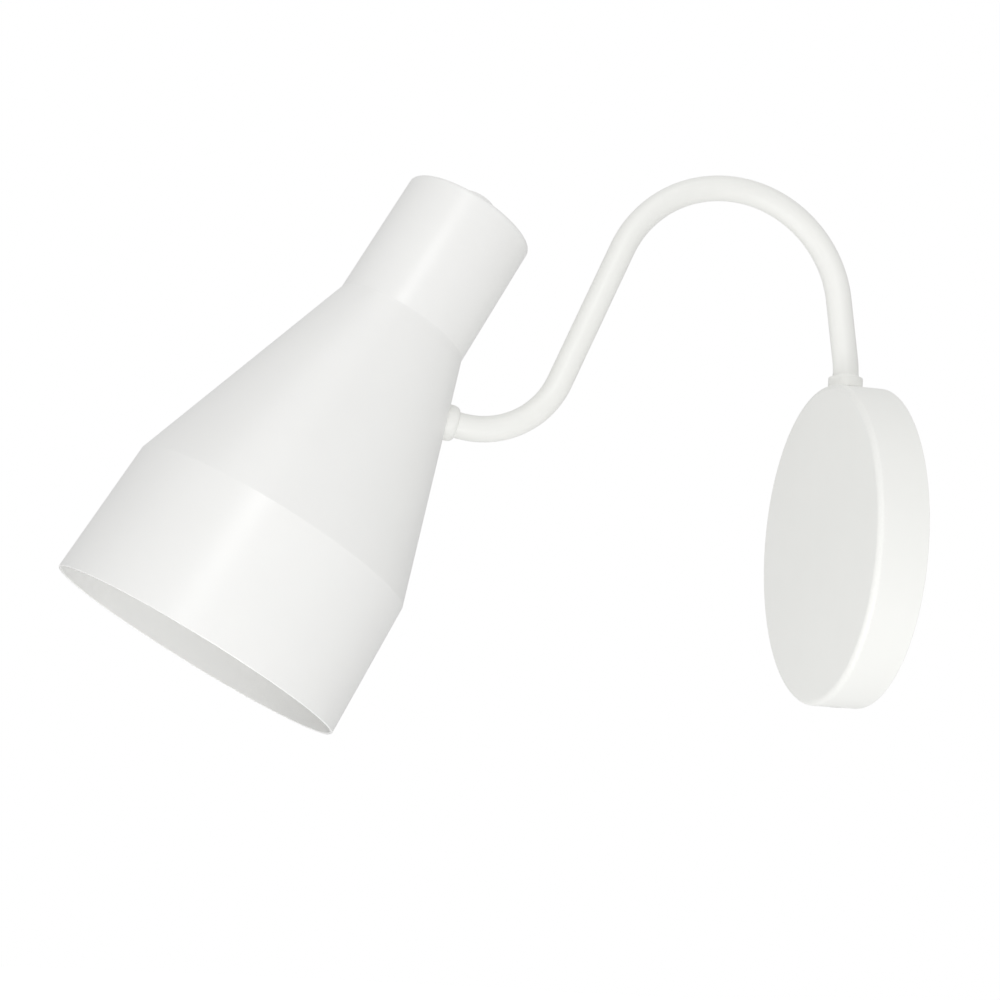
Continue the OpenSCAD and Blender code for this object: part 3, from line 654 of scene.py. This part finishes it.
def button_spring_piece():
    """The coil between the switch and the clip."""
    steps, sides = 48, 12
    last = SPRING_TURNS * steps
    low = SWITCH_TOP + SPRING_WIRE_R + SPRING_END_GAP
    high = CLIP_GROOVE[0] - SPRING_WIRE_R - SPRING_END_GAP
    verts = []
    for i in range(last + 1):
        a = 2 * math.pi * i / steps
        z = low + (high - low) * i / last
        for k in range(sides):
            b = 2 * math.pi * k / sides
            r = SPRING_COIL_R + SPRING_WIRE_R * math.cos(b)
            verts.append((r * math.cos(a), r * math.sin(a), z + SPRING_WIRE_R * math.sin(b)))
    rings = [tuple(range(i * sides, (i + 1) * sides)) for i in range(last + 1)]
    faces = quads(zip(rings, rings[1:]), sides) + [rings[0], rings[-1]]
    piece = build("button_coil", verts, faces, on_shade)
    stand_in(piece, "shade_body", "zinc_steel", zinc_steel, "button_spring")
    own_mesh(piece)


def screw_shell_piece():
    """A rolled Edison thread: both faces of the sheet follow the same helix."""
    sides, rows = 120, 110
    verts, rings = [], []

    def radius(z, a):
        from_end = min(z - SHELL_Z, SHELL_Z + SHELL_L - z)
        end = max(0.0, min(1.0, from_end / THREAD_FADE))
        wave = 0.5 - 0.5 * math.cos(2 * math.pi * z / THREAD_PITCH + a)
        return SHELL_BORE_D / 2 - THREAD_DEPTH * wave * end

    for offset, order in ((0.0, range(rows + 1)), (SHELL_T, range(rows, -1, -1))):
        for i in order:
            z = SHELL_Z + SHELL_L * i / rows
            ring = []
            for k in range(sides):
                a = 2 * math.pi * k / sides
                r = radius(z, a) + offset
                ring.append(len(verts))
                verts.append((r * math.cos(a), r * math.sin(a), z))
            rings.append(ring)
    faces = quads(zip(rings, rings[1:] + rings[:1]), sides)
    piece = build("screw_shell_rolled", verts, faces, on_shade)
    stand_in(piece, "shade_body", "brass", bare_brass, "screw_shell")


wall_plate_piece()
arm_tube_piece()
foot_collar_piece()
shade_piece()
shade_collar_piece()
push_button_piece()
button_spring_piece()
screw_shell_piece()


# ---- floor, light and camera ----
ROOM_LIGHT = 0.638
FLOOR_LIFT = 0.5                      # glow of the floor, for the camera only
LIGHTS = {                            # direction (azimuth, elevation), distance and size in m, watts
    "band": ((76, 24), 1.8, 0.45, 4.0),
    "key": ((88, -4), 1.8, 0.8, 1.0),
    "top": ((70, 62), 1.6, 1.0, 3.2),
    "mouth": ((15, -58), 0.75, 0.5, 1.3),
    "mouth_side": ((82, -48), 0.9, 0.5, 2.0),
}


def floor_piece():
    """A plain round floor below the object."""
    height, radius, sides = -0.75, 7.0, 96
    turns = [2 * math.pi * k / sides for k in range(sides)]
    verts = [(radius * math.cos(a), radius * math.sin(a), height) for a in turns]
    mesh = bpy.data.meshes.new("floor")
    mesh.from_pydata(verts, [], [tuple(range(sides))])
    made = bpy.data.objects.new("floor", mesh)
    bpy.context.scene.collection.objects.link(made)
    s = Surface("floor_pale", (0.9, 0.9, 0.9), 0.8,
                Specular_IOR_Level=0.1, Emission_Color=(1, 1, 1, 1))
    seen = s.node("ShaderNodeLightPath").outputs["Is Camera Ray"]
    s.join(s.maths("MULTIPLY", seen, FLOOR_LIFT), s.shader.inputs["Emission Strength"])
    s.patches(s.noise(400, detail=3), 0.3, 0.7, 0.3, (0.88, 0.88, 0.88))
    s.bump(s.noise(3, detail=3), 0.05, 0.2)
    mesh.materials.append(s.material)


def towards(azimuth, elevation):
    """Unit vector to a place seen from the object: azimuth 0 is out from the wall, 90 is +X."""
    a, e = math.radians(azimuth), math.radians(elevation)
    return Vector((math.sin(a) * math.cos(e), -math.cos(a) * math.cos(e), math.sin(e)))


def softbox(name, aim, back, distance, size, power):
    """A square area light that looks at aim from the direction back."""
    light = bpy.data.lights.new(name, "AREA")
    light.shape = "SQUARE"
    light.size = size
    light.energy = power
    made = bpy.data.objects.new(name, light)
    made.location = aim + back * distance
    made.rotation_mode = "QUATERNION"
    made.rotation_quaternion = (-back).to_track_quat("-Z", "Y")
    made.visible_camera = False
    bpy.context.scene.collection.objects.link(made)


def light_scene():
    """An even room light, a white backdrop that only the camera sees, and the softboxes."""
    world = bpy.data.worlds.new("studio")
    world.use_nodes = True
    tree = world.node_tree
    room = tree.nodes["Background"]
    room.inputs["Strength"].default_value = ROOM_LIGHT
    backdrop = tree.nodes.new("ShaderNodeBackground")
    for glow in (room, backdrop):
        glow.inputs["Color"].default_value = (1, 1, 1, 1)
    path = tree.nodes.new("ShaderNodeLightPath")
    either = tree.nodes.new("ShaderNodeMixShader")
    tree.links.new(path.outputs["Is Camera Ray"], either.inputs["Fac"])
    tree.links.new(room.outputs["Background"], either.inputs[1])
    tree.links.new(backdrop.outputs["Background"], either.inputs[2])
    tree.links.new(either.outputs["Shader"], tree.nodes["World Output"].inputs["Surface"])
    bpy.context.scene.world = world
    aim = (cad_box[0] + cad_box[1]) / 2
    for name, (direction, distance, size, power) in LIGHTS.items():
        softbox(name, aim, towards(*direction), distance, size, power)


def make_camera():
    """The photo's view: from the +X side, a little from below and from in front of the wall."""
    azimuth, elevation = 77.95, -8.3
    roll = math.radians(3.15)
    lens = 76.18
    distance, right_shift, up_shift = 826.06, -142.01, 18.88
    back = towards(azimuth, elevation)
    right = Vector((0, 0, 1)).cross(back).normalized()
    up = back.cross(right)
    x = math.cos(roll) * right + math.sin(roll) * up
    y = -math.sin(roll) * right + math.cos(roll) * up
    data = bpy.data.cameras.new("camera")
    data.lens = lens
    data.sensor_width = 36
    data.clip_start = 0.01
    data.clip_end = 100
    made = bpy.data.objects.new("camera", data)
    bpy.context.scene.collection.objects.link(made)
    turn = Matrix((x, y, back)).transposed().to_4x4()
    centre = (right_shift * x + up_shift * y + distance * back) * MM
    made.matrix_world = Matrix.Translation(centre) @ turn
    bpy.context.scene.camera = made


floor_piece()
light_scene()
make_camera()
bpy.context.scene.view_settings.view_transform = "Standard"
